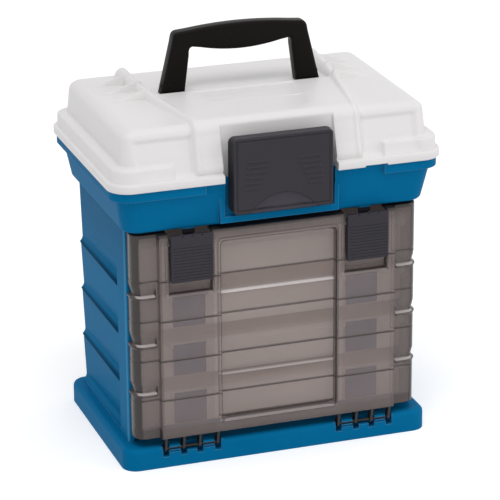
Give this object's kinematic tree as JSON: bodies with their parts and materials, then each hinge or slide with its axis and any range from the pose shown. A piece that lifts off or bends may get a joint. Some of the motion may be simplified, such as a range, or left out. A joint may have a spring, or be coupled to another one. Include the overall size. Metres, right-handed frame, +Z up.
{
  "type": "fishing tackle cabinet",
  "caption": "portable tackle cabinet: flat storage boxes slide out in a cascade behind a drop-down clear door, under a deep tub with hinged lid, front latch and folding carry handle",
  "frame": {"origin": "centre of the underside of the base, on the surface it stands on", "axes": "+X to the right of someone facing the door, +Y to the back, +Z up"},
  "size_m": [0.2778, 0.2012, 0.3396],
  "materials": {
    "blue_plastic": "moulded, satin",
    "white_plastic": "moulded, fine grain",
    "grey_plastic": "moulded, fine grain",
    "black_plastic": "moulded, satin",
    "smoke_plastic": "clear, smoke tint",
    "clear_plastic": "clear, slightly cloudy",
    "steel": "plated"
  },
  "bodies": {
    "cabinet": {"base": "blue_plastic", "left_side_wall": "blue_plastic", "right_side_wall": "blue_plastic", "back_panel": "blue_plastic", "tub": "blue_plastic", "base_screws": "steel", "tub_screws": "steel", "lid_hinge_pins": "steel"},
    "lid": {"lid": "white_plastic", "lid_latch_pin": "steel", "handle_pins": "steel"},
    "handle": {"carry_handle": "black_plastic"},
    "lid_latch": {"lid_latch": "grey_plastic"},
    "door": {"door": "smoke_plastic", "door_latch_pin_left": "steel", "door_latch_pin_right": "steel"},
    "door_latch_left": {"door_latch_left": "grey_plastic"},
    "door_latch_right": {"door_latch_right": "grey_plastic"},
    "box_1": {"box_1_tray": "clear_plastic", "box_1_lid": "clear_plastic", "box_1_latch_left": "grey_plastic", "box_1_latch_right": "grey_plastic", "box_1_dividers": "clear_plastic"},
    "box_2": {"box_2_tray": "clear_plastic", "box_2_lid": "clear_plastic", "box_2_latch_left": "grey_plastic", "box_2_latch_right": "grey_plastic", "box_2_dividers": "clear_plastic"},
    "box_3": {"box_3_tray": "clear_plastic", "box_3_lid": "clear_plastic", "box_3_latch_left": "grey_plastic", "box_3_latch_right": "grey_plastic", "box_3_dividers": "clear_plastic"},
    "box_4": {"box_4_tray": "clear_plastic", "box_4_lid": "clear_plastic", "box_4_latch_left": "grey_plastic", "box_4_latch_right": "grey_plastic", "box_4_dividers": "clear_plastic"}
  },
  "joints": [
    {"name": "lid_hinge", "type": "hinge", "parent": "cabinet", "child": "lid", "pos_m": [0, 0.098, 0.2435], "axis": [-1, 0, 0], "range_deg": [0, 100]},
    {"name": "handle_fold", "type": "hinge", "parent": "lid", "child": "handle", "pos_m": [0, 0.0105, 0.2919], "axis": [-1, 0, 0], "range_deg": [0, 88]},
    {"name": "lid_latch_hinge", "type": "hinge", "parent": "lid", "child": "lid_latch", "pos_m": [0, -0.09, 0.2676], "axis": [-1, 0, 0], "range_deg": [0, 75]},
    {"name": "door_hinge", "type": "hinge", "parent": "cabinet", "child": "door", "pos_m": [0, -0.0806, 0.0155], "axis": [1, 0, 0], "range_deg": [0, 90]},
    {"name": "door_latch_left_hinge", "type": "hinge", "parent": "door", "child": "door_latch_left", "pos_m": [-0.074, -0.0875, 0.193], "axis": [-1, 0, 0], "range_deg": [0, 50]},
    {"name": "door_latch_right_hinge", "type": "hinge", "parent": "door", "child": "door_latch_right", "pos_m": [0.074, -0.0875, 0.193], "axis": [-1, 0, 0], "range_deg": [0, 50]},
    {"name": "box_1_slide", "type": "slide", "parent": "cabinet", "child": "box_1", "axis": [0, -1, 0], "range_m": [0, 0.0316]},
    {"name": "box_2_slide", "type": "slide", "parent": "cabinet", "child": "box_2", "axis": [0, -1, 0], "range_m": [0, 0.0652]},
    {"name": "box_3_slide", "type": "slide", "parent": "cabinet", "child": "box_3", "axis": [0, -1, 0], "range_m": [0, 0.0902]},
    {"name": "box_4_slide", "type": "slide", "parent": "cabinet", "child": "box_4", "axis": [0, -1, 0], "range_m": [0, 0.1102]}
  ],
  "couplings": [
    {"joint": "box_1_slide", "follows": "door_hinge", "m_per_rad": 0.02},
    {"joint": "box_2_slide", "follows": "door_hinge", "m_per_rad": 0.0414},
    {"joint": "box_3_slide", "follows": "door_hinge", "m_per_rad": 0.0573},
    {"joint": "box_4_slide", "follows": "door_hinge", "m_per_rad": 0.07}
  ]
}
